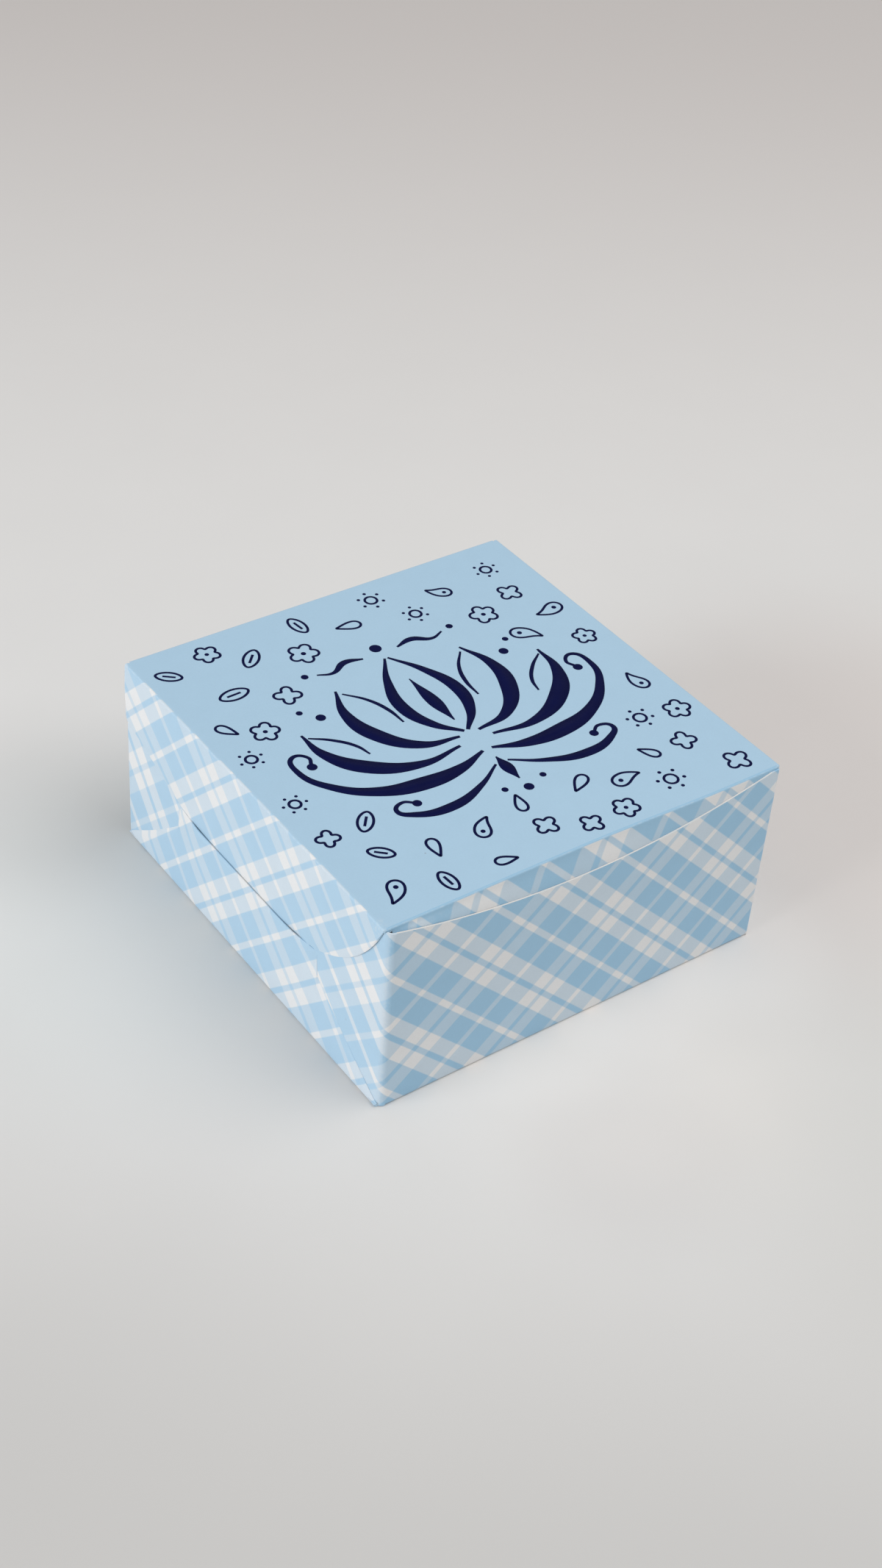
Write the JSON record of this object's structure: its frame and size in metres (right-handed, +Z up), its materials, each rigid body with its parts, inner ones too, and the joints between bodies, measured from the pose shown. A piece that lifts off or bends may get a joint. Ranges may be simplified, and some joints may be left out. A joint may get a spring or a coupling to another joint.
{
  "type": "sweet box",
  "caption": "Square folded paperboard sweet box with a hinged lid, a front tuck flap and side flaps that slide into slits to lock it shut.",
  "frame": {"origin": "middle of the box's underside", "axes": "+X to the right across the front, +Y from the front wall to the lid's hinge at the back, +Z up"},
  "size_m": [0.1088, 0.108, 0.0505],
  "materials": {
    "plaid_board": "satin printed board",
    "lid_board": "satin printed board",
    "adhesive": "dried glue"
  },
  "bodies": {
    "carton": {"base_panel": "plaid_board", "base_front_crease": "plaid_board", "base_back_crease": "plaid_board", "front_wall": "plaid_board", "back_wall": "plaid_board", "lid_hinge_crease": "plaid_board", "base_left_crease": "plaid_board", "base_right_crease": "plaid_board", "left_side_panel": "plaid_board", "right_side_panel": "plaid_board", "front_left_corner_crease": "plaid_board", "front_right_corner_crease": "plaid_board", "back_left_corner_crease": "plaid_board", "back_right_corner_crease": "plaid_board", "front_left_corner_flap": "plaid_board", "front_right_corner_flap": "plaid_board", "back_left_corner_flap": "plaid_board", "back_right_corner_flap": "plaid_board", "front_left_glue_pad": "adhesive", "front_right_glue_pad": "adhesive", "back_left_glue_pad": "adhesive", "back_right_glue_pad": "adhesive"},
    "lid": {"lid_panel": "lid_board", "lid_front_crease": "lid_board", "lid_left_crease": "lid_board", "lid_right_crease": "lid_board"},
    "tuck_flap": {"tuck_flap": "plaid_board"},
    "left_lock_flap": {"left_lock_flap": "plaid_board"},
    "right_lock_flap": {"right_lock_flap": "plaid_board"}
  },
  "joints": [
    {"name": "lid_hinge", "type": "hinge", "parent": "carton", "child": "lid", "pos_m": [0, 0.05375, 0.05025], "axis": [-1, 0, 0], "range_deg": [0, 180]},
    {"name": "tuck_flap_fold", "type": "hinge", "parent": "lid", "child": "tuck_flap", "pos_m": [0, -0.05295, 0.05025], "axis": [-1, 0, 0], "range_deg": [0, 45]},
    {"name": "left_lock_flap_fold", "type": "hinge", "parent": "lid", "child": "left_lock_flap", "pos_m": [-0.05325, 0, 0.05025], "axis": [0, 1, 0], "range_deg": [0, 45]},
    {"name": "right_lock_flap_fold", "type": "hinge", "parent": "lid", "child": "right_lock_flap", "pos_m": [0.05325, 0, 0.05025], "axis": [0, -1, 0], "range_deg": [0, 45]}
  ],
  "couplings": [
    {"joint": "tuck_flap_fold", "follows": "lid_hinge", "ratio": 0.25},
    {"joint": "left_lock_flap_fold", "follows": "lid_hinge", "ratio": 0.25},
    {"joint": "right_lock_flap_fold", "follows": "lid_hinge", "ratio": 0.25}
  ]
}
